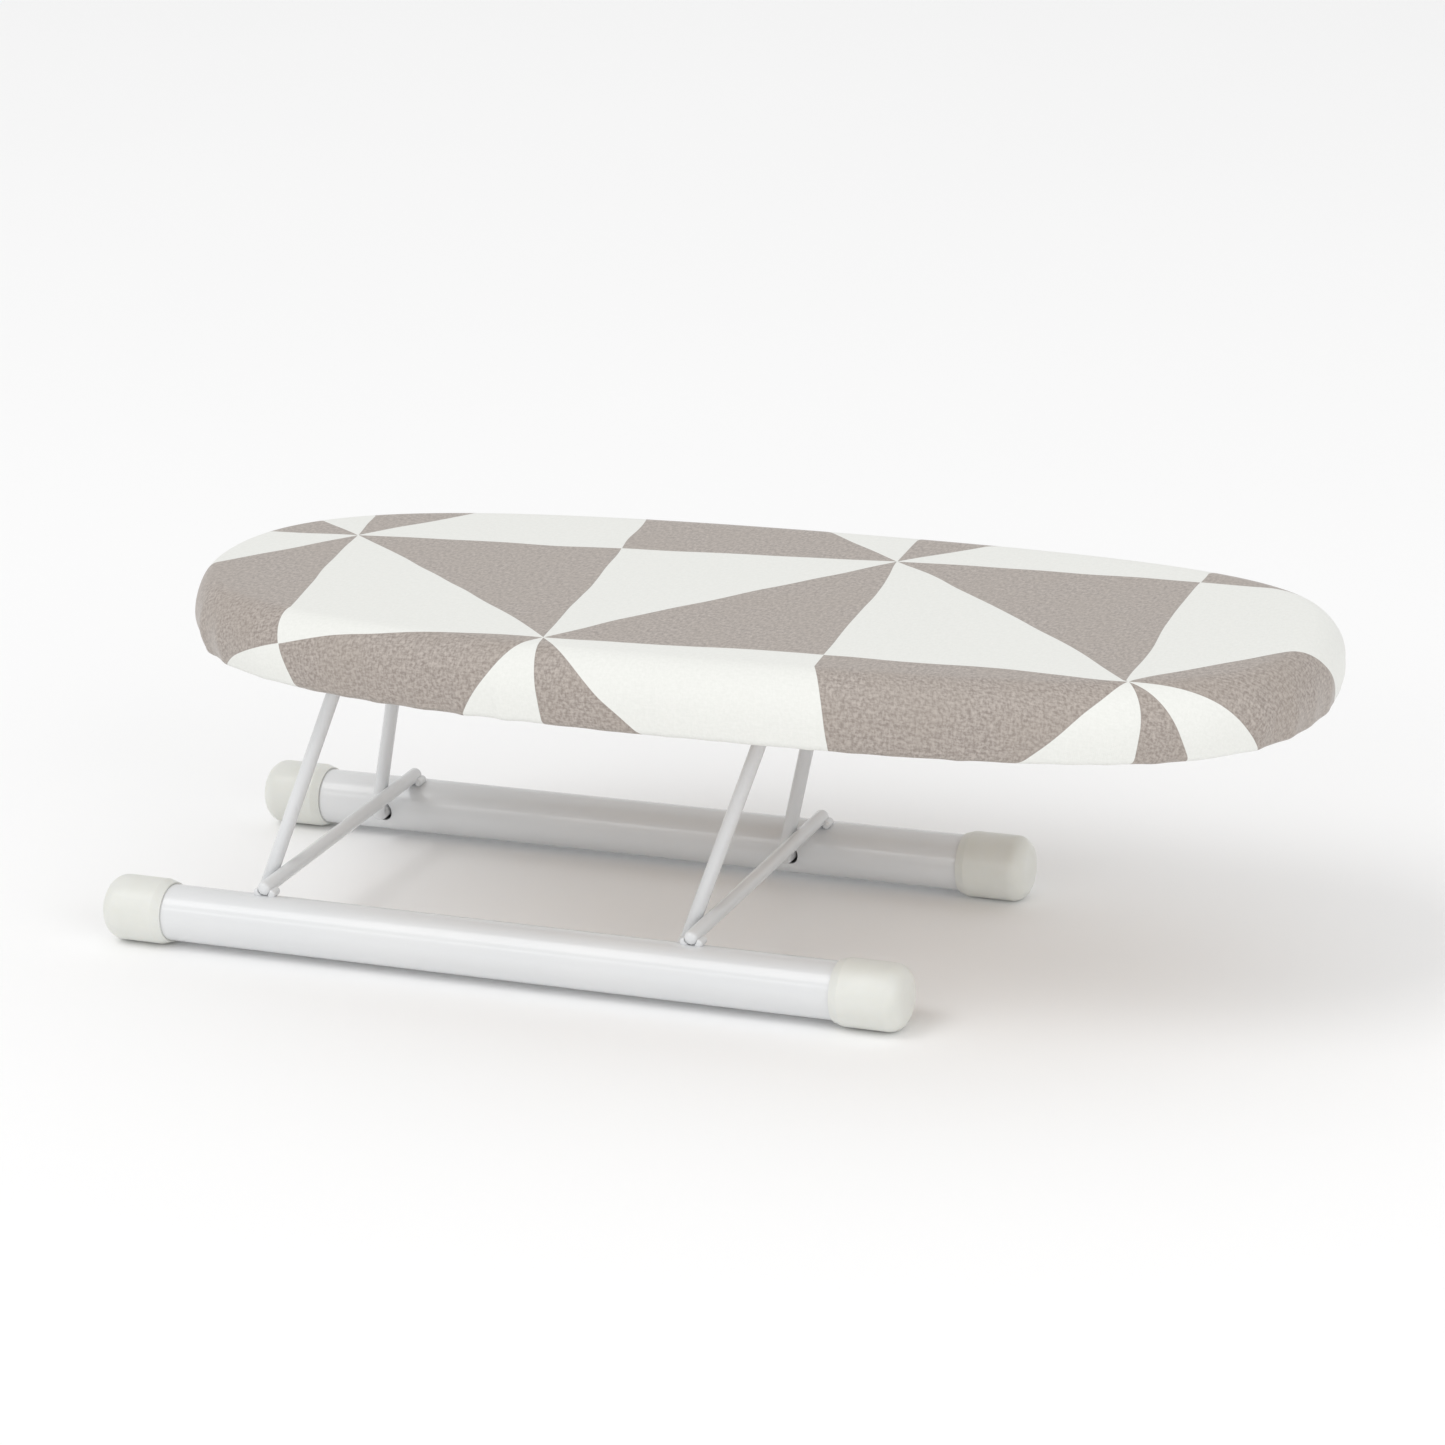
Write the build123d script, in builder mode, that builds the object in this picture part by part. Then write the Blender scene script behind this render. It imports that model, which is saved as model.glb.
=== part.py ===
"""Folding table-top ironing board: a padded oval board on two bent-wire legs, on a stand of two tubes.

Millimetres. +X runs along the board towards the nose, +Y across it, +Z up. The origin is on the table,
under the middle of the whole object. The legs lean on the crossbars when the board is up. To fold it,
the board swings towards -X on both legs and comes down flat on the crossbars.
"""
import os
from math import asin, cos, degrees, radians, sin

from build123d import *

# ---------------------------------------------------------------- driving dimensions
# Board
board_length = 260.0
board_width = 100.0
tail_fullness = 0.73      # how square the -X end is: 0.55 is an ellipse, 1 a rectangle
nose_fullness = 0.78
core_thickness = 10.0     # fibreboard
pad_thickness = 4.6       # felt and foam, pressed together
pad_side_thickness = 1.5  # the same pad, drawn down tight over the core's edge
cover_thickness = 0.7     # cotton cloth with its heat-proof backing
top_edge_radius = 5.0     # the cloth's turn over the edge of the pad
bottom_edge_radius = 1.2
hem_width = 17.0          # cloth folded under the core and stapled
layer_clearance = 0.1     # between cloth, pad and core

# Stand
tube_diameter = 12.7
tube_wall = 1.0
tube_length = 187.0
tube_spacing = 76.0       # centre to centre, across
cap_wall = 1.0            # over the tube
cap_length = 15.5
cap_end = 2.5             # solid end beyond the tube
cap_end_radius = 3.6
cap_mouth_depth = 0.6     # of the sloped collar at the mouth
cap_mouth_length = 2.0
cap_fit = 0.05
crossbar_spacing = 103.5  # centre to centre, along
crossbar_shift = -5.35    # middle of the two crossbars from the middle of the stand
crossbar_overhang = 0.3   # past the tube's centre line
wire_diameter = 3.2

# Legs
lean_angle = 19.0         # past upright, against the crossbars
leg_length = 60.0         # foot pivot to hinge bar
foot_half_width = 28.8
hinge_half_width = 14.0
foot_reach = 7.85         # of wire past the tube's inner side
bend_radius = 3.2
pivot_hole_diameter = 4.6
stop_clearance = 0.3      # leg to crossbar, board up
fold_clearance = 0.3      # staple crowns to crossbars, board down

# Hinge brackets and fasteners
board_offset = 39.6       # board's middle from the middle of the two hinge bars
bracket_length = 28.0
bracket_width = 16.0
bracket_thickness = 1.0
bracket_corner_radius = 3.0
bracket_bend_radius = 0.8
hinge_clearance = 0.2
screw_pitch_x = 18.0
screw_pitch_y = 9.0
screw_shank_diameter = 2.8
screw_head_diameter = 5.2
screw_head_height = 1.4
screw_length = 7.0
screw_slot_width = 0.8
screw_slot_depth = 0.6
staple_crown = 9.0
staple_leg = 5.5
staple_wire = 0.6
staples_per_quarter = 7
staple_inset = 7.5        # crown from the board's edge
weld_radius = 1.0
weld_length = 3.2
weld_end_radius = 0.6
weld_setback = 0.4        # from the crossbar's end

# ---------------------------------------------------------------- worked out from them
wire_radius = wire_diameter / 2
tube_radius = tube_diameter / 2
cap_radius = tube_radius + cap_fit + cap_wall
tube_z = cap_radius
crossbar_z = tube_z + tube_radius + wire_radius
lean = radians(lean_angle)
leg_height = leg_length * cos(lean)
leg_reach = leg_length * sin(lean)

# The leg touches the crossbar one wire thickness away, square to its own lean.
crossbar_to_pivot = (wire_diameter + stop_clearance + (crossbar_z - tube_z) * sin(lean)) / cos(lean)
hinge_z = tube_z + leg_height
core_bottom_z = hinge_z + wire_radius + hinge_clearance
board_bottom_z = core_bottom_z - cover_thickness
board_thickness = pad_thickness + core_thickness + 2 * cover_thickness + layer_clearance
board_top_z = board_bottom_z + board_thickness

stand_length = tube_length + 2 * cap_end
stand_to_board = crossbar_shift - crossbar_to_pivot + leg_reach + board_offset
stand_x = -(stand_to_board + board_length / 2 - stand_length / 2) / 2
board_x = stand_x + stand_to_board
crossbar_xs = [stand_x + crossbar_shift + side * crossbar_spacing / 2 for side in (-1, 1)]
pivot_xs = [x - crossbar_to_pivot for x in crossbar_xs]
hinge_xs = [x + leg_reach for x in pivot_xs]

folded_board_z = crossbar_z + wire_radius + fold_clearance + staple_wire
folded_thickness = crossbar_z + wire_radius + fold_clearance + board_thickness
folded_hinge_z = folded_board_z + hinge_z - board_bottom_z
fold_angle = lean_angle + 90 - degrees(asin((folded_hinge_z - tube_z) / leg_length))


def save(part, name):
    """Label a finished piece and write it to its own STEP file."""
    part.label = name
    export_step(part, f"parts/{name}.step")


def board_outline(inset):
    """The board's oval, drawn in by inset, as four curves that meet smoothly."""
    length = board_length / 2 - inset
    width = board_width / 2 - inset
    for side, fullness in ((-1, tail_fullness), (1, nose_fullness)):
        for across in (-1, 1):
            Bezier(
                (0, across * width),
                (side * fullness * length, across * width),
                (side * length, across * fullness * width),
                (side * length, 0),
            )


def board_layer(inset, bottom, height):
    """A flat slab with the board's oval, at the board's place."""
    with BuildPart() as layer:
        with BuildSketch(Plane.XY.offset(bottom).move(Location((board_x, 0, 0)))):
            with BuildLine():
                board_outline(inset)
            make_face()
        extrude(amount=height)
    return layer.part


os.makedirs("parts", exist_ok=True)

# ---------------------------------------------------------------- staples through the cloth's hem
half_length = board_length / 2 - staple_inset
half_width = board_width / 2 - staple_inset


def staple_place(side, across, t):
    """A plane on one quarter of the staple line, facing down, with its x along the line."""
    fullness = tail_fullness if side < 0 else nose_fullness
    quarter = Bezier(
        (0, across * half_width),
        (side * fullness * half_length, across * half_width),
        (side * half_length, across * fullness * half_width),
        (side * half_length, 0),
        mode=Mode.PRIVATE,
    )
    where = quarter.position_at(t)
    origin = (board_x + where.X, where.Y, board_bottom_z)
    return Plane(origin=origin, x_dir=quarter.tangent_at(t), z_dir=(0, 0, -1))


# The crowns lie on the cloth, and the legs run up through it into the core.
with BuildPart() as staples:
    for side in (-1, 1):
        for across in (-1, 1):
            for step in range(staples_per_quarter):
                place = staple_place(side, across, (step + 0.5) / staples_per_quarter)
                with BuildSketch(place):
                    Rectangle(staple_crown, staple_wire)
                extrude(amount=staple_wire)
                with BuildSketch(place):
                    with GridLocations(staple_crown - staple_wire, 0, 2, 1):
                        Rectangle(staple_wire, staple_wire)
                extrude(amount=-staple_leg)
save(staples.part, "cover_staples")

# ---------------------------------------------------------------- board: core, pad and cover
pad_inset = cover_thickness + layer_clearance
core_inset = pad_inset + pad_side_thickness

with BuildPart() as board_core:
    add(board_layer(core_inset, core_bottom_z, core_thickness))
    for hinge_x in hinge_xs:  # pilot holes for the bracket screws
        with BuildSketch(Plane.XY.offset(core_bottom_z)):
            with Locations((hinge_x, 0)):
                with GridLocations(screw_pitch_x, screw_pitch_y, 2, 2):
                    Circle(screw_shank_diameter / 2)
        extrude(amount=screw_length - bracket_thickness + 0.2, mode=Mode.SUBTRACT)
    add(staples.part, mode=Mode.SUBTRACT)
save(board_core.part, "board_core")

with BuildPart() as foam_pad:
    add(board_layer(pad_inset, core_bottom_z, core_thickness + pad_thickness))
    pad_top = foam_pad.faces().sort_by(Axis.Z)[-1]
    fillet(pad_top.edges(), top_edge_radius - pad_inset)
    add(board_layer(core_inset, core_bottom_z, core_thickness), mode=Mode.SUBTRACT)
save(foam_pad.part, "foam_pad")

with BuildPart() as cavity:
    add(board_layer(cover_thickness, core_bottom_z, core_thickness + pad_thickness + layer_clearance))
    cavity_top = cavity.faces().sort_by(Axis.Z)[-1]
    fillet(cavity_top.edges(), top_edge_radius - cover_thickness)

with BuildPart() as cover:
    add(board_layer(0, board_bottom_z, board_thickness))
    fillet(cover.faces().sort_by(Axis.Z)[-1].edges(), top_edge_radius)
    fillet(cover.faces().sort_by(Axis.Z)[0].edges(), bottom_edge_radius)
    add(cavity.part, mode=Mode.SUBTRACT)
    add(board_layer(hem_width, board_bottom_z - 1, cover_thickness + 2), mode=Mode.SUBTRACT)
    add(staples.part, mode=Mode.SUBTRACT)
save(cover.part, "cover")

# ---------------------------------------------------------------- stand: tubes, caps, crossbars, welds
for across, name in ((-1, "front"), (1, "rear")):
    tube_y = across * tube_spacing / 2
    with BuildPart() as tube:
        with BuildSketch(Plane.YZ.offset(stand_x - tube_length / 2)):
            with Locations((tube_y, tube_z)):
                Circle(tube_radius)
                Circle(tube_radius - tube_wall, mode=Mode.SUBTRACT)
        extrude(amount=tube_length)
        # Pivot holes for the legs' feet, in the inner wall only.
        with BuildSketch(Plane.XZ.offset(-tube_y)):
            for pivot_x in pivot_xs:
                with Locations((pivot_x, tube_z)):
                    Circle(pivot_hole_diameter / 2)
        extrude(amount=across * (tube_radius + 1), mode=Mode.SUBTRACT)
    save(tube.part, f"{name}_foot_tube")

    for end, end_name in ((-1, "left"), (1, "right")):
        mouth_x = stand_x + end * (stand_length / 2 - cap_length)
        with BuildPart() as cap:
            with BuildSketch(Plane.YZ.offset(mouth_x)):
                with Locations((tube_y, tube_z)):
                    Circle(cap_radius)
            extrude(amount=end * cap_length)
            fillet(cap.edges().sort_by(Axis.X)[-1 if end > 0 else 0], cap_end_radius)
            with BuildSketch(Plane.YZ.offset(mouth_x)):
                with Locations((tube_y, tube_z)):
                    Circle(tube_radius + cap_fit)
            extrude(amount=end * (cap_length - cap_end), mode=Mode.SUBTRACT)
            mouth_rim = cap.faces().filter_by(Axis.X).sort_by(Axis.X)[0 if end > 0 else -1]
            mouth_edge = mouth_rim.outer_wire().edges()
            chamfer(mouth_edge, cap_mouth_depth, cap_mouth_length, reference=mouth_rim)
        save(cap.part, f"{name}_{end_name}_cap")

crossbar_length = tube_spacing + 2 * crossbar_overhang
for crossbar_x, name in zip(crossbar_xs, ("left", "right")):
    with BuildPart() as crossbar:
        with BuildSketch(Plane.XZ.offset(-crossbar_length / 2)):
            with Locations((crossbar_x, crossbar_z)):
                Circle(wire_radius)
        extrude(amount=crossbar_length)
        fillet(crossbar.edges().filter_by(GeomType.CIRCLE), wire_radius * 0.8)
    save(crossbar.part, f"{name}_crossbar")

# Fillet welds, one each side of a crossbar where it crosses a tube.
with BuildPart() as welds:
    for crossbar_x in crossbar_xs:
        for across in (-1, 1):
            weld_y = across * (crossbar_length / 2 - weld_setback - weld_length / 2)
            with BuildSketch(Plane.XZ.offset(-weld_y - weld_length / 2)):
                with Locations((crossbar_x, tube_z + tube_radius + weld_radius / 2)):
                    with GridLocations(wire_diameter + 0.2, 0, 2, 1):
                        Circle(weld_radius)
            extrude(amount=weld_length)
    fillet(welds.edges().filter_by(GeomType.CIRCLE), weld_end_radius)
    for crossbar_x in crossbar_xs:
        with Locations(Location((crossbar_x, 0, crossbar_z), (90, 0, 0))):
            Cylinder(wire_radius, crossbar_length, mode=Mode.SUBTRACT)
    for across in (-1, 1):
        with Locations(Location((stand_x, across * tube_spacing / 2, tube_z), (0, 90, 0))):
            Cylinder(tube_radius, tube_length, mode=Mode.SUBTRACT)
save(welds.part, "crossbar_welds")

# ---------------------------------------------------------------- legs: bent wire, feet turned outwards
foot_end = tube_spacing / 2 - tube_radius + foot_reach

for pivot_x, name in zip(pivot_xs, ("left", "right")):
    # In the leg's own plane, x runs across the board and y up the lean.
    leg_plane = Plane(origin=(pivot_x, 0, tube_z), x_dir=(0, 1, 0), z_dir=(cos(lean), 0, -sin(lean)))
    with BuildPart() as leg:
        with BuildLine(leg_plane) as path:
            FilletPolyline(
                (-foot_end, 0),
                (-foot_half_width, 0),
                (-hinge_half_width, leg_length),
                (hinge_half_width, leg_length),
                (foot_half_width, 0),
                (foot_end, 0),
                radius=bend_radius,
            )
        with BuildSketch(Plane(origin=path.line @ 0, z_dir=path.line % 0)):
            Circle(wire_radius)
        sweep(path=path.line)
    save(leg.part, f"{name}_leg_wire")

# ---------------------------------------------------------------- hinge brackets and their screws
channel_radius = wire_radius + hinge_clearance
arch_radius = channel_radius + bracket_thickness

for hinge_x, name in zip(hinge_xs, ("left", "right")):
    with BuildPart() as bracket:
        with BuildSketch(Plane.XZ.offset(-bracket_width / 2)):
            with Locations((hinge_x, core_bottom_z - bracket_thickness / 2)):
                Rectangle(bracket_length, bracket_thickness)
            with Locations((hinge_x, hinge_z)):
                Circle(arch_radius)
                Circle(channel_radius, mode=Mode.SUBTRACT)
            with Locations((hinge_x, core_bottom_z)):
                Rectangle(
                    2 * channel_radius,
                    channel_radius,
                    align=(Align.CENTER, Align.MAX),
                    mode=Mode.SUBTRACT,
                )
            with Locations((hinge_x, core_bottom_z)):
                Rectangle(3 * arch_radius, arch_radius, align=(Align.CENTER, Align.MIN), mode=Mode.SUBTRACT)
        extrude(amount=bracket_width)
        corners = bracket.edges().filter_by(Axis.Z).group_by(Axis.X)
        fillet(corners[0] + corners[-1], bracket_corner_radius)
        underside = bracket.faces().filter_by(Axis.Z).group_by(Axis.Z)[0]
        bends = underside.edges().filter_by(Axis.Y).group_by(lambda edge: abs(edge.center().X - hinge_x))
        fillet(bends[0], bracket_bend_radius)
        with BuildSketch(Plane.XY.offset(core_bottom_z)):
            with Locations((hinge_x, 0)):
                with GridLocations(screw_pitch_x, screw_pitch_y, 2, 2):
                    Circle(screw_shank_diameter / 2 + 0.1)
        extrude(amount=-bracket_thickness, mode=Mode.SUBTRACT)
    save(bracket.part, f"{name}_hinge_bracket")

    head_top_z = core_bottom_z - bracket_thickness
    with BuildPart() as screws:
        with BuildSketch(Plane.XY.offset(head_top_z)):
            with Locations((hinge_x, 0)):
                with GridLocations(screw_pitch_x, screw_pitch_y, 2, 2):
                    Circle(screw_head_diameter / 2)
        extrude(amount=-screw_head_height)
        fillet(screws.faces().sort_by(Axis.Z).group_by(Axis.Z)[0].edges(), 0.7)
        with BuildSketch(Plane.XY.offset(head_top_z)):
            with Locations((hinge_x, 0)):
                with GridLocations(screw_pitch_x, screw_pitch_y, 2, 2):
                    Circle(screw_shank_diameter / 2)
        extrude(amount=screw_length)
        with BuildSketch(Plane.XY.offset(head_top_z - screw_head_height)):
            with Locations((hinge_x, 0)):
                with GridLocations(screw_pitch_x, screw_pitch_y, 2, 2):
                    Rectangle(0.7 * screw_head_diameter, screw_slot_width)
                    Rectangle(screw_slot_width, 0.7 * screw_head_diameter)
        extrude(amount=screw_slot_depth, mode=Mode.SUBTRACT)
    save(screws.part, f"{name}_bracket_screws")

print(f"overall height {board_top_z:.2f}, board from {board_bottom_z:.2f}, {board_thickness:.2f} thick")
print(f"stand x {stand_x:.3f}, board x {board_x:.3f}, crossbars {crossbar_xs}, leg {leg_length:.3f}")
print(f"foot pivots x {pivot_xs}, z {tube_z:.3f}; hinge bars x {hinge_xs}, z {hinge_z:.3f}")
print(f"fold angle {fold_angle:.3f} degrees, folded thickness {folded_thickness:.2f}")
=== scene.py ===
# %% [markdown]
# # A small ironing board for a table top
# The real thing is a padded oval board on two bent wires. The wires stand in two round tubes, lean on
# two crossbars, and let the board fold down flat. The hard pieces arrive finished, as exact solids in
# one frame, so this file gives them their paint, plastic and plate. It builds only what a solid can't
# show well: the printed cotton cover with its hem, and the felt pad under it.

# %% Load the frame
from math import cos, radians, sin

import bpy
import numpy as np
from mathutils import Matrix, Vector


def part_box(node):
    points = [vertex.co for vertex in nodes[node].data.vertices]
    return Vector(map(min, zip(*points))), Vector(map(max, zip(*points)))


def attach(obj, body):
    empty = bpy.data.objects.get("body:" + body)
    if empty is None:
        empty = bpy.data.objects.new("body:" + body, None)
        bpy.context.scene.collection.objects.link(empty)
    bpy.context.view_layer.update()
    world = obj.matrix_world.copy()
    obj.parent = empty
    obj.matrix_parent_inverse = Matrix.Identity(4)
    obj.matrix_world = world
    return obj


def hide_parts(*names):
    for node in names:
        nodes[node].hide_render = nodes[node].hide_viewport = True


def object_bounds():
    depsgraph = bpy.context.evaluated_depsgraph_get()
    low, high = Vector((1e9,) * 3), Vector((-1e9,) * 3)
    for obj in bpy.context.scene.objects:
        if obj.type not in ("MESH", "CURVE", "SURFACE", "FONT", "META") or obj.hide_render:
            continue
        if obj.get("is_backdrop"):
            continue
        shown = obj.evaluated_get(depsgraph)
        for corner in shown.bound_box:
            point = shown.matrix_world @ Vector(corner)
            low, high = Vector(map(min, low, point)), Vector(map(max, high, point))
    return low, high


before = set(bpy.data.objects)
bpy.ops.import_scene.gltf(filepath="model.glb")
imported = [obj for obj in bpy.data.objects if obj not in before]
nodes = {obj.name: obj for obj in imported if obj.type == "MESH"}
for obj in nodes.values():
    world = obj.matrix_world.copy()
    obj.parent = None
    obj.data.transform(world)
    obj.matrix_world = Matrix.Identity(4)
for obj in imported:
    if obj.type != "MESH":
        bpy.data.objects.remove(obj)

solid_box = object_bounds()

# %% [markdown]
# Lengths here are in metres, but an ironing board is easier to think about in millimetres. One small
# constant keeps the numbers readable: `5 * MM` is five millimetres.

# %% Units and the board's own measurements
MM = 0.001
cover_low, cover_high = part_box("cover")
core_low, core_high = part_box("board_core")
board_middle = (cover_low + cover_high) / 2
half_length = (cover_high.x - cover_low.x) / 2
half_width = (cover_high.y - cover_low.y) / 2
print(f"board {2 * half_length / MM:.1f} x {2 * half_width / MM:.1f} mm, top at {cover_high.z / MM:.1f} mm")

# %% [markdown]
# ## The camera
# A long lens from well back keeps the far end of the board from shrinking much. A short lens close by
# would take in the same things, but it would swell the nose. The camera stands in front of the nose end,
# looks down a little, and is tipped a few degrees about its own line of sight. A Track To constraint
# can't give that tip, so the three axes are built by hand, which also makes each of the angles plain.

# %% Camera
LENS = 116.6  # millimetres
CAMERA_AT = Vector((394.4, -876.4, 395.7)) * MM
YAW = radians(24.28)
PITCH = radians(19.75)
ROLL = radians(3.2)


def aim(yaw, pitch, roll):
    """A camera rotation: yaw left of +Y, pitch below the horizon, roll about the line of sight."""
    forward = Vector((-sin(yaw) * cos(pitch), cos(yaw) * cos(pitch), -sin(pitch)))
    level = Vector((cos(yaw), sin(yaw), 0))
    down = forward.cross(level)
    right = level * cos(roll) + down * sin(roll)
    up = right.cross(forward)
    return Matrix((right, up, -forward)).transposed()


camera = bpy.data.objects.new("camera", bpy.data.cameras.new("camera"))
bpy.context.scene.collection.objects.link(camera)
camera.data.lens = LENS
camera.location = CAMERA_AT
camera.rotation_euler = aim(YAW, PITCH, ROLL).to_euler()
bpy.context.scene.camera = camera
print("camera", [round(v, 3) for v in camera.location])

# %% [markdown]
# ## Writing materials
# Every finish here is a Principled shader whose colour, roughness and bump come from a few procedural
# nodes. The same nodes can be laid out by hand in the shader editor. In code each takes three lines, so
# this little class does the adding and joining. Whatever is the same all over a surface is set straight
# on the shader, and only what varies gets nodes.


# %% A helper for building finishes
class Finish:
    """A material being made: nodes are added and joined with short calls."""

    def __init__(self, name, **settings):
        self.material = bpy.data.materials.new(name)
        self.material.use_nodes = True
        self.tree = self.material.node_tree
        self.shader = self.tree.nodes["Principled BSDF"]
        self.set(**settings)

    def set(self, **settings):
        """Fix shader values that are the same all over: coat_weight=0.2 sets the socket Coat Weight."""
        for name, value in settings.items():
            self.shader.inputs[name.replace("_", " ").title().replace("Ior", "IOR")].default_value = value

    def node(self, kind, inputs=None, **settings):
        """Add one node, with its settings, and its inputs as values or as other nodes' outputs."""
        made = self.tree.nodes.new("ShaderNode" + kind)
        for name, value in settings.items():
            setattr(made, name, value)
        for key, value in (inputs or {}).items():
            self.feed(made.inputs[key], value)
        return made

    def feed(self, socket, value):
        """Join an output to a socket, or just set the socket's value."""
        if isinstance(value, bpy.types.NodeSocket):
            self.tree.links.new(value, socket)
        else:
            socket.default_value = value

    def math(self, operation, first, second=0.0):
        """One Math node's result. Operations that take a single number leave the second one alone."""
        return self.node("Math", {0: first, 1: second}, operation=operation).outputs[0]

    def place(self, scale=(1, 1, 1)):
        """Each point's place on the piece, in metres, stretched by scale."""
        where = self.node("TexCoord").outputs["Object"]
        return self.node("Mapping", {"Vector": where, "Scale": scale}).outputs["Vector"]

    def noise(self, scale, detail=2.0, where=None, roughness=0.5):
        """Soft noise from 0 to 1, with about scale lumps to the metre."""
        where = where if where is not None else self.place()
        inputs = {"Vector": where, "Scale": scale, "Detail": detail, "Roughness": roughness}
        return self.node("TexNoise", inputs).outputs["Fac"]

    def ramp(self, value, low, high, to_low=0.0, to_high=1.0):
        """Stretch value so that low..high becomes to_low..to_high, with soft ends."""
        inputs = {"Value": value, "From Min": low, "From Max": high, "To Min": to_low, "To Max": to_high}
        return self.node("MapRange", inputs, interpolation_type="SMOOTHSTEP").outputs["Result"]

    def mix(self, share, first, second):
        """A colour between first and second, which a Mix node keeps in its inputs 6 and 7."""
        made = self.node("Mix", {0: share, 6: first, 7: second}, data_type="RGBA")
        return made.outputs[2]

    def colour(self, value):
        """The base colour, as rgb() or as a node's output."""
        self.feed(self.shader.inputs["Base Color"], value)

    def roughness(self, value):
        """How dull the surface is, from 0 for a mirror to 1 for chalk."""
        self.feed(self.shader.inputs["Roughness"], value)

    def bump(self, height, distance):
        """Raise the surface by height times distance, in metres."""
        made = self.node("Bump", {"Height": height, "Distance": distance})
        self.tree.links.new(made.outputs["Normal"], self.shader.inputs["Normal"])


def rgb(red, green, blue):
    """A colour socket's value from linear red, green and blue."""
    return (red, green, blue, 1.0)


# %% [markdown]
# ## White paint on the steel
# The tubes, legs and crossbars are powder coated. Powder melts into a thick, smooth skin, a little wavy
# like orange peel, so it mirrors a lamp as a soft streak. One white and one gloss all over would look
# like paper, so three noises do it: a fine one bumps the peel, and two broader ones let the gloss and
# the tint drift. A thin clear coat on top gives the streak its sharp core.


# %% Paint
def make_paint(name, peel):
    """White powder coat, with peel as the height of its ripples in metres."""
    paint = Finish(name, coat_weight=0.6, coat_roughness=0.1, ior=1.5)
    tint = paint.ramp(paint.noise(scale=22, detail=2), 0.3, 0.7)
    clean, cool = rgb(0.735, 0.742, 0.748), rgb(0.715, 0.725, 0.735)
    paint.colour(paint.mix(tint, clean, cool))
    paint.roughness(paint.ramp(paint.noise(scale=90, detail=3), 0.3, 0.7, 0.33, 0.41))
    paint.bump(paint.noise(scale=420, detail=1), peel)
    return paint.material


tube_paint = make_paint("white_powder_coat_tube", peel=0.006 * MM)
wire_paint = make_paint("white_powder_coat_wire", peel=0.005 * MM)
print("paint:", tube_paint.name, wire_paint.name)

# %% [markdown]
# ## Plastic foot caps
# The caps are soft moulded plastic, warmer than the paint and very slightly see-through, so light gets
# a little way in and the rounded ends glow. Plain glossy white would look like china, so subsurface
# light does it. A cap slides on the table, and its lowest millimetre picks up grey scuffs. They could
# be painted on by hand, but a height test on the piece's own Z finds the place on all four caps.


# %% Cap plastic
def make_cap_plastic():
    plastic = Finish("ivory_cap_plastic", subsurface_weight=0.18, subsurface_scale=2 * MM, ior=1.46)
    plastic.set(subsurface_radius=(1.0, 0.9, 0.7))
    mottle = plastic.ramp(plastic.noise(scale=120, detail=3), 0.35, 0.65)
    body = plastic.mix(mottle, rgb(0.745, 0.75, 0.71), rgb(0.725, 0.73, 0.685))
    height = plastic.node("SeparateXYZ", {0: plastic.place()}).outputs["Z"]
    low = plastic.ramp(height, 0.1 * MM, 1.1 * MM, 1.0, 0.0)
    scratches = plastic.ramp(plastic.noise(scale=900, detail=5), 0.48, 0.62)
    scuff = plastic.math("MULTIPLY", low, scratches)
    plastic.colour(plastic.mix(scuff, body, rgb(0.45, 0.44, 0.41)))
    gloss = plastic.ramp(plastic.noise(scale=260, detail=4), 0.3, 0.7, 0.30, 0.44)
    plastic.roughness(plastic.math("ADD", gloss, plastic.math("MULTIPLY", scuff, 0.3)))
    plastic.bump(plastic.noise(scale=2600, detail=2), 0.012 * MM)
    return plastic.material


cap_plastic = make_cap_plastic()
print("plastic:", cap_plastic.name)

# %% [markdown]
# ## Plated steel and fibreboard
# The hinge brackets and staples are thin zinc-plated steel, and the screws are nickel plated. Rolling
# leaves faint lines along the strip. The shader's anisotropy could smear the highlight, but a noise
# stretched along X also shows the lines themselves. The board's core is fibreboard, ground wood pressed
# flat: brown, dull and speckled with darker fibres, which two noises at different sizes imitate.


# %% Steel and fibreboard
DULLED = 0.82


def make_plate(name, tone, grain):
    """Plated steel of one tone. Grain says how many rolling lines there are to the metre each way."""
    plate = Finish(name, metallic=1.0)
    lines = plate.noise(scale=1.0, detail=3, where=plate.place(grain))
    bloom = plate.ramp(plate.noise(scale=240, detail=3), 0.4, 0.7)
    dull = tuple(DULLED * part for part in tone)
    plate.colour(plate.mix(bloom, rgb(*tone), rgb(*dull)))
    plate.roughness(plate.ramp(lines, 0.3, 0.7, 0.24, 0.42))
    plate.bump(lines, 0.01 * MM)
    return plate.material


def make_fibreboard():
    board = Finish("raw_fibreboard", specular_ior_level=0.25)
    cloudy = board.ramp(board.noise(scale=90, detail=4), 0.3, 0.7)
    body = board.mix(cloudy, rgb(0.36, 0.235, 0.125), rgb(0.43, 0.29, 0.165))
    fibres = board.noise(scale=1.0, detail=3, where=board.place((1500, 2600, 2600)), roughness=0.7)
    dark = board.ramp(fibres, 0.56, 0.72)
    board.colour(board.mix(dark, body, rgb(0.20, 0.12, 0.06)))
    board.roughness(board.ramp(cloudy, 0, 1, 0.78, 0.9))
    board.bump(fibres, 0.05 * MM)
    return board.material


bracket_plate = make_plate("zinc_plate", (0.60, 0.61, 0.63), (250, 4200, 4200))
screw_plate = make_plate("nickel_plate", (0.68, 0.66, 0.63), (1500, 1500, 300))
fibreboard = make_fibreboard()
print("plate and board:", bracket_plate.name, screw_plate.name, fibreboard.name)

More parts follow.
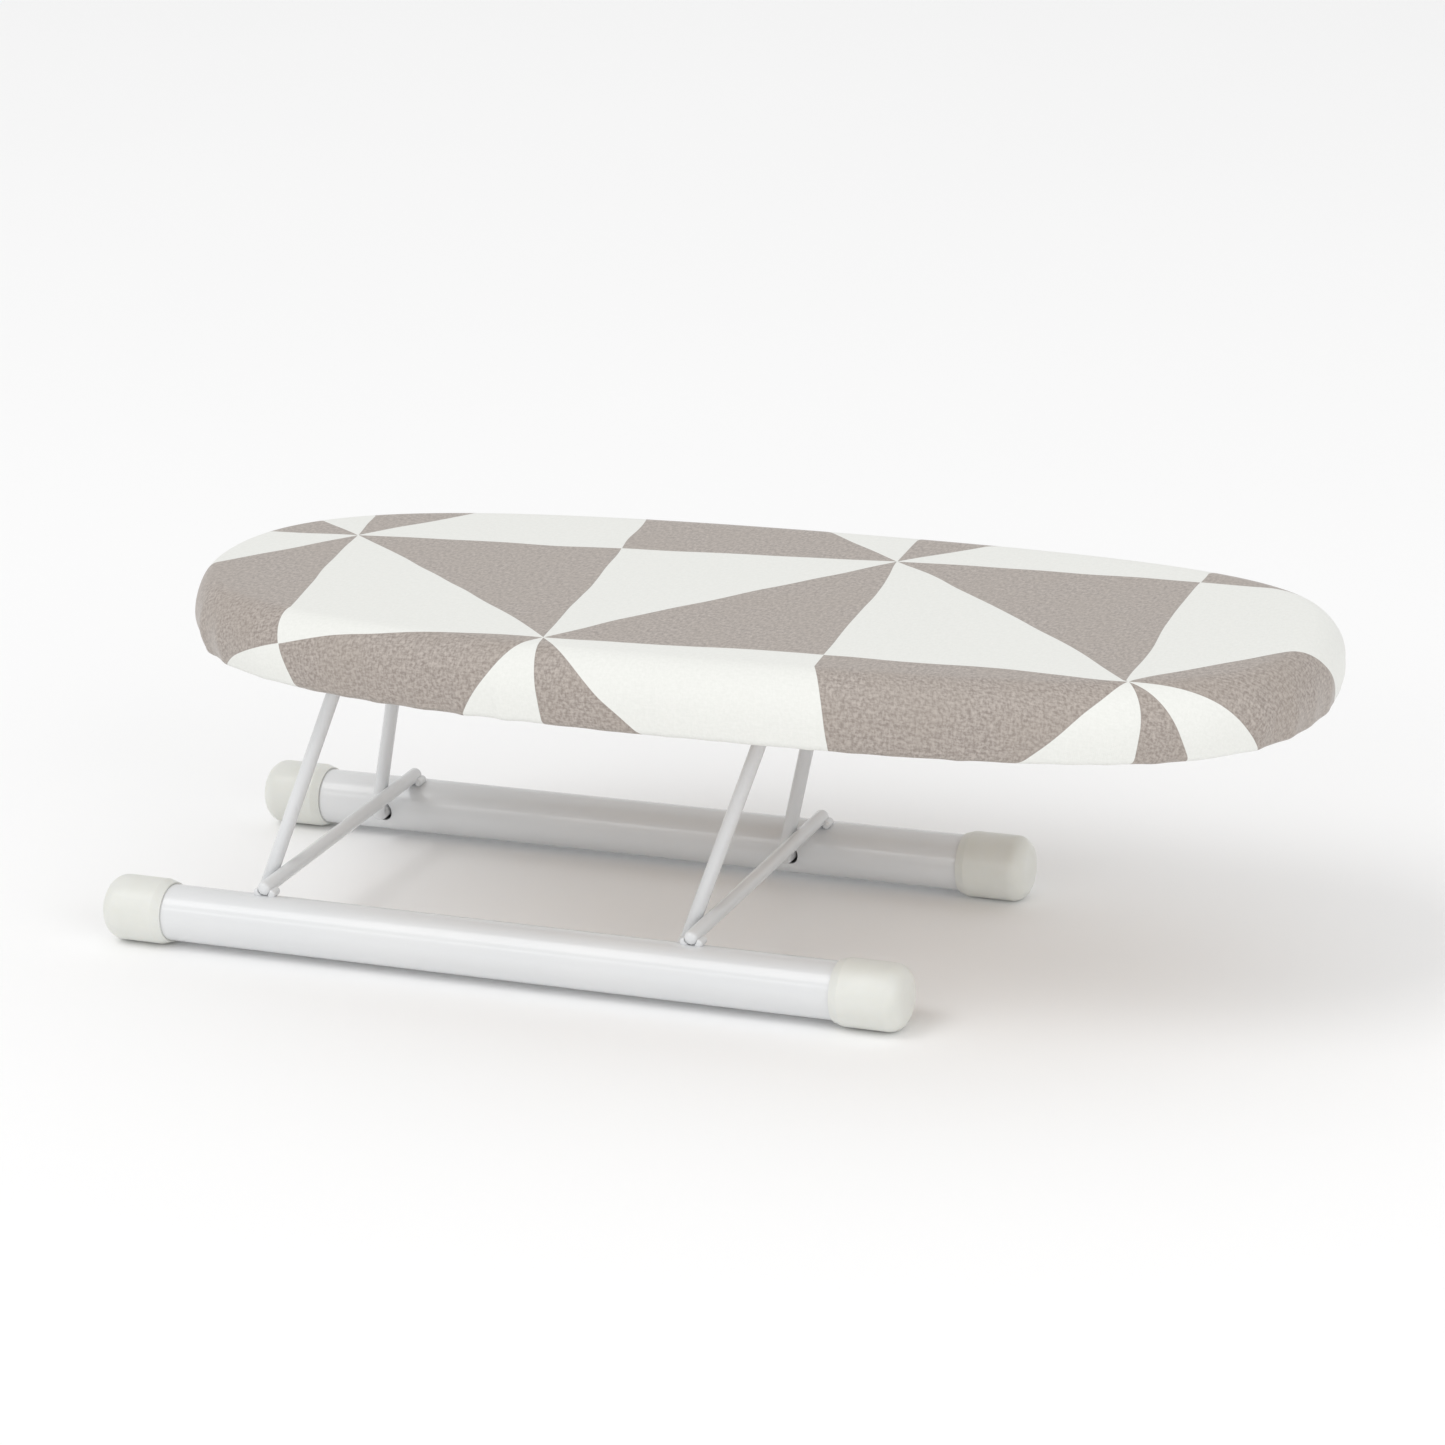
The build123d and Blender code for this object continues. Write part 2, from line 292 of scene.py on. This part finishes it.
# %% [markdown]
# ## Dressing the hard pieces
# The solids already have the right shape, so they keep it and only swap their material. A table of
# which finish goes on which piece is easier to read than a chain of ifs.

# %% Give each solid its finish
FINISHES = {
    tube_paint: ("front_foot_tube", "rear_foot_tube"),
    wire_paint: ("left_crossbar", "right_crossbar", "crossbar_welds", "left_leg_wire", "right_leg_wire"),
    cap_plastic: ("front_left_cap", "front_right_cap", "rear_left_cap", "rear_right_cap"),
    bracket_plate: ("left_hinge_bracket", "right_hinge_bracket", "cover_staples"),
    screw_plate: ("left_bracket_screws", "right_bracket_screws"),
    fibreboard: ("board_core",),
}
for finish, names in FINISHES.items():
    for name in names:
        nodes[name].data.materials.clear()
        nodes[name].data.materials.append(finish)
    print(f"{finish.name}: {len(names)} pieces")

# %% [markdown]
# ## The board's outline
# Seen from above the board is a full oval, squarer than an ellipse. Four Bezier quarters draw it, and one
# number at each end says how square it is. A curve object could hold one such outline, but both soft
# pieces need it at many sizes, so it is a function of how far it is drawn in. Points are spaced evenly,
# which keeps the weave of the mesh even too.

# %% Outline
TAIL_FULLNESS = 0.73
NOSE_FULLNESS = 0.78
TAIL_ROLL = 3.8 * MM
NOSE_ROLL = 6.0 * MM
SIDE_ROLL = 7.5 * MM
AROUND = 720


def quarter(side, across, length, width, steps=400):
    """One quarter of the oval, from the middle of a long side round to the tip.

    Side is 1 towards the nose and -1 towards the tail. Across is 1 or -1, along Y.
    """
    full = TAIL_FULLNESS if side < 0 else NOSE_FULLNESS
    corners = np.array([
        (0, across * width),
        (side * full * length, across * width),
        (side * length, across * full * width),
        (side * length, 0),
    ])
    t = np.linspace(0, 1, steps)[:, None]
    weights = ((1 - t) ** 3, 3 * t * (1 - t) ** 2, 3 * t**2 * (1 - t), t**3)
    return sum(weight * corner for weight, corner in zip(weights, corners))


def oval(inset, rolled=0.0):
    """Points round the board, counter-clockwise from the nose, drawn in by inset.

    Rolled goes from 0 at the rim to 1 at the flat top's edge, and draws each end in by its own roll.
    """
    width = half_width - inset - rolled * SIDE_ROLL
    nose = half_length - inset - rolled * NOSE_ROLL
    tail = half_length - inset - rolled * TAIL_ROLL
    loop = np.concatenate([
        quarter(1, 1, nose, width)[::-1],
        quarter(-1, 1, tail, width)[1:],
        quarter(-1, -1, tail, width)[::-1][1:],
        quarter(1, -1, nose, width)[1:],
    ])
    walked = np.concatenate([[0], np.cumsum(np.linalg.norm(np.diff(loop, axis=0), axis=1))])
    stops = np.linspace(0, walked[-1], AROUND, endpoint=False)
    return np.stack([np.interp(stops, walked, loop[:, axis]) for axis in (0, 1)], axis=1)


def along_and_out(loop):
    """Unit directions along a loop and square to it, outwards, at each of its points."""
    ahead = np.roll(loop, -1, axis=0) - np.roll(loop, 1, axis=0)
    ahead /= np.linalg.norm(ahead, axis=1)[:, None]
    return ahead, np.stack([ahead[:, 1], -ahead[:, 0]], axis=1)


rim = oval(0)
ahead, outward = along_and_out(rim)
TURN_OVER = 6  # points to each side over which the rim's turn is measured
tightness = np.linalg.norm(np.roll(ahead, -TURN_OVER, axis=0) - np.roll(ahead, TURN_OVER, axis=0), axis=1)
tightness /= tightness.max()
round_the_rim = np.linalg.norm(np.roll(rim, -1, axis=0) - rim, axis=1).sum()
print(f"the rim is {round_the_rim / MM:.0f} mm round")

# %% [markdown]
# ## Puckers
# Flat cloth can't turn down round a curved end without too much of it gathering there, so soft upright
# folds stand in the skirt, deepest where the rim turns tightest. They could be sculpted one by one, but a
# few sine waves of different lengths, with starting points from a seeded random source, add up to folds
# that look unplanned and never change from one run to the next.

# %% Fold pattern round the rim
chance = np.random.default_rng(26)
angle = np.linspace(0, 2 * np.pi, AROUND, endpoint=False)


def ripples(count_low, count_high, terms=7):
    """A wavy line round the rim, about -1 to 1, of waves with count_low to count_high crests."""
    line = np.zeros(AROUND)
    for count in chance.integers(count_low, count_high, terms):
        line += chance.uniform(0.4, 1.0) * np.sin(count * angle + chance.uniform(0, 2 * np.pi))
    return line / np.abs(line).max()


ridges = ((1 + ripples(38, 85)) / 2) ** 3
broad_folds = ripples(8, 24)
gathers = ripples(90, 150)
edge_wander = ripples(10, 40)
print(f"folds: the skirt stands out over {(ridges > 0.1).mean():.0%} of the rim")

# %% [markdown]
# ## Building the cover
# The cover is one sheet: flat on top, rolled over the pad's shoulder, down the edge as a skirt, round the
# core's lower corner, and under as a stapled hem. A cloth simulation could drop a sheet over the pad, but
# this one is stretched tight, with nothing loose to fall. So it is a profile swept round the rim: the
# mesh is a stack of rings, and each ring is the oval at some inset and height. Ring by ring it is also
# easy to note how far the cloth has run over the edge, which says where the print lies on the flat cut.

# %% Profile of the cover
SHOULDER_DOWN = 9.0 * MM
LOWER_CORNER = 1.8 * MM
SIDE_TUCK = 0.35 * MM
END_TUCK = 0.9 * MM
HEM = 17.0 * MM
CLOTH = 0.5 * MM
TOP_RINGS, SHOULDER_RINGS, SKIRT_RINGS, CORNER_RINGS, HEM_RINGS = 28, 16, 10, 6, 13
top = cover_high.z
bottom = cover_low.z
tuck = SIDE_TUCK + END_TUCK * tightness


def smooth(value):
    """0 below 0, 1 above 1, and a smooth step between."""
    value = np.clip(value, 0, 1)
    return value * value * (3 - 2 * value)


def cover_profile():
    """(rolled, tucked, inset, height) of each ring, outwards from the flat top and down to the hem."""
    rings = []
    for lean in np.linspace(0, np.pi / 2, SHOULDER_RINGS):
        rings.append((1 - sin(lean), 0.0, 0.0, top - SHOULDER_DOWN * (1 - cos(lean))))
    skirt_top, skirt_bottom = top - SHOULDER_DOWN, bottom + LOWER_CORNER
    for step in np.linspace(0, 1, SKIRT_RINGS + 1)[1:]:
        rings.append((0.0, step**2, 0.0, skirt_top + (skirt_bottom - skirt_top) * step))
    for lean in np.linspace(0, np.pi / 2, CORNER_RINGS + 1)[1:]:
        rings.append((0.0, 1.0, LOWER_CORNER * (1 - cos(lean)), skirt_bottom - LOWER_CORNER * sin(lean)))
    for inset in np.linspace(LOWER_CORNER, HEM, HEM_RINGS + 1)[1:]:
        rings.append((0.0, 1.0, inset, bottom))
    return rings


profile = cover_profile()
print(f"{len(profile)} rings from the shoulder to the hem's cut edge")

# %% [markdown]
# ## Folds in the skirt and the hem
# Each ring is then moved a little to make the folds. They fade in down the skirt and out again under the
# board, where the staples hold the hem flat. A displacement modifier could do it after the mesh is made,
# but here each ring already knows how far down it is. A depth may have two parts: what the straight
# sides have, and what the tight ends add.

# %% How deep the folds are, in millimetres
FOLD, FOLD_AT_ENDS = 0.80, 0.70
BROAD_FOLD = 0.45
GATHER, GATHER_AT_ENDS = 0.06, 0.34
HANG = 0.14
CUT_WANDER = 0.9
FULL_BY = 0.8  # share of the way down at which the folds are full
FLAT_BY = 0.2  # share of the hem after which they are gone
GATHERED_BY = 0.15  # share of the hem after which the gathers are full
print(f"upright folds stand out up to {FOLD + FOLD_AT_ENDS + BROAD_FOLD:.2f} mm at the ends")


# %% Rings over the shoulder, down the skirt and under the hem
def flat_ring(points, height):
    """A ring of points that are all at one height."""
    return np.column_stack([points, np.full(AROUND, height)])


def cover_rings():
    """Each ring's points in space, and where those points lie on the flat cloth."""
    flat_rim = oval(0, rolled=1.0)
    cut_outward = along_and_out(flat_rim)[1]
    run = np.zeros(AROUND)
    rings, cloth, last = [], [], None
    for rolled, tucked, inset, height in profile:
        plane = oval(inset, rolled) - outward * (tuck * tucked)[:, None]
        still = flat_ring(plane, height)
        if last is not None:
            run = run + np.linalg.norm(still - last, axis=1)
        last = still
        cloth.append(flat_rim + cut_outward * run[:, None])

        on_hem = max(0.0, (inset - LOWER_CORNER) / (HEM - LOWER_CORNER))
        skirt = smooth((top - height) / (top - bottom) / FULL_BY) * (1 - smooth(on_hem / FLAT_BY))
        stand_off = (FOLD + FOLD_AT_ENDS * tightness) * ridges + BROAD_FOLD * (1 + broad_folds) / 2
        out = skirt * stand_off - on_hem * edge_wander * CUT_WANDER
        gathered = (GATHER + GATHER_AT_ENDS * tightness) * (1 + gathers) / 2
        settle = smooth(on_hem / GATHERED_BY) * gathered
        hang = skirt * HANG * broad_folds * (1 - rolled) ** 4
        moved = np.column_stack([outward * out[:, None], hang - settle]) * MM
        rings.append(still + moved)
    return rings, cloth


side_rings, side_cloth = cover_rings()
run_over = np.linalg.norm(side_cloth[-1] - side_cloth[0], axis=1).max()
print(f"the cloth runs up to {run_over / MM:.0f} mm over the edge")

# %% [markdown]
# ## The flat top
# Felt is never quite even, so neither is the cloth on it. A few slow waves, some hundredths of a
# millimetre deep, are enough to keep the light on the top from looking ruled. They could be bump, but
# bump doesn't reach the mesh, and the mesh itself should be as soft as the render.

# %% Rings of the top
DENT = 0.05 * MM
DENT_WAVES = (58, 95, 37)  # radians to the metre: along the board, across it and slantwise


def top_rings(count):
    """Rings of the flat top, from near the middle out to the shoulder, very slightly uneven."""
    flat_rim = oval(0, rolled=1.0)
    long_wave, cross_wave, slant_wave = DENT_WAVES
    rings = []
    for share in np.linspace(0, 1, count, endpoint=False)[1:]:
        plane = flat_rim * share
        dents = np.sin(plane[:, 0] * long_wave) * np.cos(plane[:, 1] * cross_wave + 1.1)
        dents += np.sin(plane.sum(axis=1) * slant_wave)
        rings.append(np.column_stack([plane, top - DENT * (1 + dents / 2) * (1 - share**4)]))
    return rings


flat_rings = top_rings(TOP_RINGS)
print(f"{len(flat_rings)} rings on the top")

# %% [markdown]
# ## The flat cut
# Before it is stretched the cover is one flat oval of cloth. Its edge is where the hem's last ring lies
# on the flat, so its size and area follow from that ring.

# %% [markdown]
# ## From rings to a mesh
# Rings become a mesh by joining each point to its neighbours on the next ring. Bridge Edge Loops does the
# same by hand. A function can do it seventy times over, and it builds the pad too. A UV map carries the
# cloth coordinates: it is only two numbers for each corner of a face, and here they are metres on the
# flat cut instead of a place in an image.


# %% Rings to mesh
def add_map(piece, name, places):
    """A UV map that gives every corner of every face its point's pair of numbers from places."""
    mesh = piece.data
    corner_point = np.zeros(len(mesh.loops), dtype=np.int32)
    mesh.loops.foreach_get("vertex_index", corner_point)
    mesh.uv_layers.new(name=name).data.foreach_set("uv", places[corner_point].ravel())


def mesh_from_rings(name, rings, middle, closed_below=False):
    """A mesh of nested rings round a middle point."""
    count = len(rings)
    index = np.arange(AROUND)
    after = (index + 1) % AROUND
    faces = [(0, 1 + a, 1 + b) for a, b in zip(index, after)]
    for ring in range(count - 1):
        near, far = 1 + ring * AROUND, 1 + (ring + 1) * AROUND
        faces += [(near + a, far + a, far + b, near + b) for a, b in zip(index, after)]
    if closed_below:
        faces.append(tuple((1 + (count - 1) * AROUND + index)[::-1]))
    mesh = bpy.data.meshes.new(name)
    mesh.from_pydata(np.concatenate([[middle], *rings]).tolist(), [], faces)
    mesh.polygons.foreach_set("use_smooth", [True] * len(mesh.polygons))
    mesh.update()
    piece = bpy.data.objects.new(name, mesh)
    bpy.context.scene.collection.objects.link(piece)
    return piece


# %% The cover's mesh
at_board = np.array([board_middle.x, board_middle.y, 0])
crown = np.array([0, 0, top - DENT])
cover_points = [ring + at_board for ring in flat_rings + side_rings]
cover = mesh_from_rings("printed_cover", cover_points, crown + at_board)
cloth_places = np.concatenate([[crown[:2]], *[ring[:, :2] for ring in flat_rings], *side_cloth])
add_map(cover, "cloth", cloth_places)
print(f"cover mesh: {len(cover.data.vertices)} points, {len(cover.data.polygons)} faces")

# %% [markdown]
# ## Cloth thickness
# A single skin has no edge to see at the hem. A second skin could be built from rings as well, but the
# Solidify modifier does it in three lines. It thickens the cloth inwards, towards the pad, so the outside
# stays exactly where it was placed.

# %% Cloth thickness
thickness = cover.modifiers.new("cloth thickness", "SOLIDIFY")
thickness.thickness = CLOTH
thickness.offset = -1.0
print(f"cloth {CLOTH / MM:.1f} mm thick")

# %% [markdown]
# ## The print
# The print is a grid of nearly square cells, each cut corner to corner, with light and dark triangles
# taking turns. In neighbouring cells the cuts lean opposite ways, so at every second crossing they meet
# and eight points make a star. The edges could be cut into the mesh, but a rule in the shader keeps them
# sharp at any distance and leaves the mesh even. Cloth pulled tight by hand never lies quite straight, so
# the grid is turned a little and gently bent. That bending is a short polynomial of the place on the
# cloth, worked out here for every point and stored as a second UV map that holds a column and a row.

# %% Where each point lies in the printed grid
CELL = (64.3 * MM, 59.3 * MM)
PULL = {  # how column and row grow with the place on the cloth, in decimetres
    "1": (2.564, 0.575),
    "x": (1.565, -0.137),
    "y": (0.207, 1.632),
    "xx": (-0.026, 0.049),
    "xy": (-0.094, -0.066),
    "yy": (0.013, 0.213),
    "xxx": (-0.026, 0.034),
}
DECIMETRES = 10
x, y = (cloth_places * DECIMETRES).T
terms = np.stack([np.ones_like(x), x, y, x * x, x * y, y * y, x**3], axis=1)
grid_places = terms @ np.array(list(PULL.values()))
add_map(cover, "grid", grid_places)
print("columns", grid_places[:, 0].round(1).min(), "to", grid_places[:, 0].round(1).max())

# %% [markdown]
# ## The rule for the colours
# The colouring rule is arithmetic on column and row, so it fits in a few dozen Math nodes: fractions say
# where in the cell a point is, and odd or even picks the lean and the colour. Before that a slow noise
# shifts each point by a small share of a cell, so that no printed line is ruler straight.


# %% Pattern nodes
WANDER_LUMPS = 2.4  # to the cell
WANDER = 0.045  # of a cell


def add_print(cloth):
    """Add the star print. Returns 1 on dark triangles, and how many mm away the next colour starts."""
    place = cloth.node("UVMap", uv_map="grid").outputs["UV"]
    lumps = {"Vector": place, "Scale": WANDER_LUMPS, "Detail": 1.0}
    wander = cloth.node("TexNoise", lumps).outputs["Color"]
    wander = cloth.node("VectorMath", {0: wander, 1: (0.5, 0.5, 0.5)}, operation="SUBTRACT").outputs[0]
    wander = cloth.node("VectorMath", {0: wander, 3: WANDER}, operation="SCALE").outputs[0]
    drawn = cloth.node("VectorMath", {0: place, 1: wander}, operation="ADD").outputs[0]
    split = cloth.node("SeparateXYZ", {0: drawn})
    column, row = split.outputs["X"], split.outputs["Y"]
    across = cloth.math("FRACT", column)
    along = cloth.math("FRACT", row)
    whole_column = cloth.math("FLOOR", column)
    both = cloth.math("ADD", whole_column, cloth.math("FLOOR", row))
    odd_column = cloth.math("MULTIPLY", cloth.math("FRACT", cloth.math("MULTIPLY", whole_column, 0.5)), 2.0)
    odd_cell = cloth.math("MULTIPLY", cloth.math("FRACT", cloth.math("MULTIPLY", both, 0.5)), 2.0)
    cut_height = cloth.math("ABSOLUTE", cloth.math("SUBTRACT", across, odd_cell))
    above = cloth.math("GREATER_THAN", along, cut_height)
    dark = cloth.math("SUBTRACT", 1.0, cloth.math("ABSOLUTE", cloth.math("SUBTRACT", above, odd_column)))
    to_side = cloth.math("MULTIPLY", cloth.math("PINGPONG", column, 0.5), CELL[0] / MM)
    to_end = cloth.math("MULTIPLY", cloth.math("PINGPONG", row, 0.5), CELL[1] / MM)
    slope = CELL[0] * CELL[1] / (CELL[0] ** 2 + CELL[1] ** 2) ** 0.5 / MM
    off_cut = cloth.math("ABSOLUTE", cloth.math("SUBTRACT", along, cut_height))
    to_cut = cloth.math("MULTIPLY", off_cut, slope)
    seam = cloth.math("MINIMUM", to_cut, cloth.math("MINIMUM", to_side, to_end))
    return dark, seam


# %% [markdown]
# ## The cotton
# Close up the dark print is not one colour: the dye takes unevenly, thread by thread, and gives a heather
# of warm and grey flecks, short along both threads of the weave. Undyed cotton is nearly even. The weave
# itself is fine, about five threads in two millimetres. Real threads would take millions of faces, and
# here they only show as a slight tooth in the highlight, so they are bump. Cotton has a soft sheen at a
# glancing angle, which the sheen lobe gives, and the dye leaves the dark parts a little glossier.


# %% Cotton cover finish
THREAD = 0.42 * MM
WAVE_TURN = 20  # radians that a wave texture turns for each unit of its scale
FLECK_ACROSS, FLECK_ALONG = 1800, 850  # lumps to the metre
PATCHES = 70
DYE_GLOSS = 0.32
DARK_FLECK, PALE_FLECK = rgb(0.262, 0.224, 0.200), rgb(0.490, 0.438, 0.398)
DYE_PATCH, DYE_EDGE = rgb(0.385, 0.337, 0.292), rgb(0.30, 0.26, 0.235)
COTTON_LOW, COTTON_HIGH = rgb(0.775, 0.78, 0.745), rgb(0.815, 0.818, 0.785)
print(f"a thread is {THREAD / MM:.2f} mm wide")


# %% Cotton nodes
def make_cotton():
    cloth = Finish("printed_cotton", sheen_weight=0.3, sheen_roughness=0.35, specular_ior_level=0.35)
    place = cloth.node("UVMap", uv_map="cloth").outputs["UV"]
    dark, seam = add_print(cloth)

    def flecks(stretch, detail=2.0):
        where = cloth.node("Mapping", {"Vector": place, "Scale": stretch}).outputs["Vector"]
        return cloth.noise(scale=1.0, detail=detail, where=where, roughness=0.62)

    warp = flecks((FLECK_ACROSS, FLECK_ALONG, 1), 4.0)
    weft = flecks((FLECK_ALONG, FLECK_ACROSS, 1), 4.0)
    heather = cloth.math("MULTIPLY", cloth.math("ADD", warp, weft), 0.5)
    heather = cloth.ramp(heather, 0.36, 0.64)
    patchy = cloth.ramp(flecks((PATCHES, PATCHES, 1)), 0.3, 0.7)
    dyed = cloth.mix(heather, DARK_FLECK, PALE_FLECK)
    dyed = cloth.mix(cloth.math("MULTIPLY", patchy, 0.25), dyed, DYE_PATCH)
    dyed = cloth.mix(cloth.ramp(seam, 0.12, 0.5, 0.35, 0.0), dyed, DYE_EDGE)
    undyed = cloth.mix(heather, COTTON_LOW, COTTON_HIGH)
    share = cloth.math("MULTIPLY", dark, cloth.ramp(seam, 0.0, 0.14))
    cloth.colour(cloth.mix(share, undyed, dyed))
    thread_roughness = cloth.ramp(heather, 0, 1, 0.74, 0.86)
    cloth.roughness(cloth.math("SUBTRACT", thread_roughness, cloth.math("MULTIPLY", share, DYE_GLOSS)))
    wave = {"Vector": place, "Scale": 2 * np.pi / WAVE_TURN / THREAD, "Distortion": 0.6, "Detail": 1.0}
    threads = [cloth.node("TexWave", wave, bands_direction=way).outputs["Fac"] for way in ("X", "Y")]
    weave = cloth.math("MULTIPLY", cloth.math("ADD", threads[0], threads[1]), 0.5)
    tooth = cloth.math("ADD", cloth.math("MULTIPLY", weave, 0.5), cloth.math("MULTIPLY", heather, 0.5))
    cloth.bump(tooth, 0.03 * MM)
    return cloth.material


cotton = make_cotton()
print(f"{cotton.name}: {len(cotton.node_tree.nodes)} nodes")

# %% [markdown]
# ## Dressing the cover
# The sheet now gets its cloth and takes the plain solid cover's place, which stays hidden for collisions.
# It is stapled to the core and crosses no hinge, so it rides on the board's body as a whole. A cover that
# crossed a hinge would have to bend between two bodies.

# %% Dress the cover
cover.data.materials.append(cotton)
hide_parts("cover")
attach(cover, "board")
print("cover dressed and riding on the board")

# %% [markdown]
# ## The pad
# Under the cloth lie felt and foam, drawn down over the core's edge like a lid. The cloth pulls the pad's
# upper edge round. A loose cushion would be blown up by a cloth simulation, but this pad is pressed flat
# and can't swell, so rings make it too. It is a little smaller than the cloth, or it would poke through.

# %% Pad rings
PAD_UNDER = 0.25 * MM
SIDE_UNDER = 0.3 * MM
LIP_ABOVE_CORE_BOTTOM = 1.4 * MM
LIP = ((0.35 * MM, 0.5 * MM), (0.2 * MM, 0.0), (0.0, 0.3 * MM))  # out from the core, up from the lip's end
core_inset = half_length - (core_high.x - core_low.x) / 2


def pad_rings():
    """Rings over the pad's top, its shoulder and its side, then up its inner wall to the core's top."""
    side = CLOTH + PAD_UNDER + SIDE_UNDER
    pad_top, lip_end = top - CLOTH - PAD_UNDER, core_low.z + LIP_ABOVE_CORE_BOTTOM
    flat_rim = oval(side, rolled=1.0)
    rings = [flat_ring(flat_rim * share, pad_top) for share in np.linspace(0.1, 0.9, 9)]
    for lean in np.linspace(0, np.pi / 2, 12):
        height = pad_top - SHOULDER_DOWN * (1 - cos(lean))
        rings.append(flat_ring(oval(side, rolled=1 - sin(lean)), height))
    rings += [flat_ring(oval(core_inset - out), lip_end + up) for out, up in LIP]
    rings.append(flat_ring(oval(core_inset), core_high.z))
    return rings


pad_points = [ring + at_board for ring in pad_rings()]
print(f"{len(pad_points)} rings, with {core_inset / MM:.1f} mm between the core and the cover's rim")


# %% Felt, and the finished pad
def make_felt():
    felt = Finish("grey_white_felt", sheen_weight=0.4, specular_ior_level=0.2)
    wool = felt.noise(scale=1400, detail=4, roughness=0.7)
    felt.colour(felt.mix(wool, rgb(0.62, 0.61, 0.58), rgb(0.80, 0.79, 0.76)))
    felt.roughness(felt.ramp(wool, 0.3, 0.7, 0.85, 0.95))
    felt.bump(wool, 0.2 * MM)
    return felt.material


pad_middle = np.array([board_middle.x, board_middle.y, pad_points[0][0][2]])
pad = mesh_from_rings("felt_and_foam_pad", pad_points, pad_middle, closed_below=True)
pad.data.materials.append(make_felt())
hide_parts("foam_pad")
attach(pad, "board")
print(f"pad mesh: {len(pad.data.vertices)} points")

# %% [markdown]
# ## The floor
# The board stands on a plain pale sheet of paper. It could be curved up behind as a backdrop, but a flat
# sheet that is large enough looks the same from every side. It isn't part of the object, so it is marked
# as stage.


# %% Floor
FLOOR_HALF = 15.0


def make_floor_finish():
    paper = Finish("white_paper", specular_ior_level=0.1)
    cloudy = paper.noise(scale=3, detail=2)
    paper.colour(paper.mix(cloudy, rgb(0.955, 0.955, 0.955), rgb(0.97, 0.97, 0.97)))
    paper.roughness(paper.ramp(cloudy, 0, 1, 0.85, 0.95))
    return paper.material


floor_mesh = bpy.data.meshes.new("floor")
corners = [(-FLOOR_HALF, -FLOOR_HALF, 0), (FLOOR_HALF, -FLOOR_HALF, 0),
           (FLOOR_HALF, FLOOR_HALF, 0), (-FLOOR_HALF, FLOOR_HALF, 0)]
floor_mesh.from_pydata(corners, [], [(0, 1, 2, 3)])
floor = bpy.data.objects.new("floor", floor_mesh)
bpy.context.scene.collection.objects.link(floor)
floor_mesh.materials.append(make_floor_finish())
floor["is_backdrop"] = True
print(f"floor {2 * FLOOR_HALF:.0f} m square")

# %% [markdown]
# ## Sky and lamps
# A bright, even sky lights all sides, as white walls would. The sky alone would leave the paint without
# any streak, so three area lamps help it. A large one high on the left lets the board shade the far tube,
# and a second one lifts the nose. A long thin lamp, low enough to shine under the board, draws a fine
# streak along each tube. Point lamps would be simpler, but they throw hard shadows.

# %% Sky
SKY_STRENGTH = 0.79
sky = bpy.data.worlds.new("studio")
sky.use_nodes = True
sky.node_tree.nodes["Background"].inputs["Color"].default_value = rgb(1.0, 1.0, 1.0)
sky.node_tree.nodes["Background"].inputs["Strength"].default_value = SKY_STRENGTH
bpy.context.scene.world = sky
bpy.context.scene.view_settings.view_transform = "Standard"
print("sky strength", SKY_STRENGTH)

# %% Lamps
LAMPS_AIM_AT = Vector((0, 0, 0.05))


def softbox(name, place, wide, tall, power):
    """A flat lamp at place, in metres, aimed at the middle of the object, with its power in watts."""
    lamp = bpy.data.lights.new(name, "AREA")
    lamp.shape, lamp.size, lamp.size_y, lamp.energy = "RECTANGLE", wide, tall, power
    made = bpy.data.objects.new(name, lamp)
    bpy.context.scene.collection.objects.link(made)
    made.location = place
    made.rotation_euler = (LAMPS_AIM_AT - Vector(place)).to_track_quat("-Z", "Y").to_euler()


softbox("key", (-1.6, -1.7, 3.5), wide=2.0, tall=2.0, power=35.0)
softbox("fill", (1.3, -0.9, 0.7), wide=1.0, tall=1.0, power=5.0)
softbox("strip", (-0.85, -1.74, 1.04), wide=2.0, tall=0.25, power=3.5)
print("lamps:", [lamp.name for lamp in bpy.data.lights])

# %% [markdown]
# ## Finishing
# The solids and the visual model are each measured, and their boxes are printed in millimetres.
# The visual model must take up the same room as the solids.

# %% Sizes of the solids and of the visual model
boxes = {"cad": [list(corner) for corner in solid_box], "visual": [list(corner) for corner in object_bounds()]}
for name, (low, high) in boxes.items():
    print(name, [round((b - a) / MM, 2) for a, b in zip(low, high)], "mm")
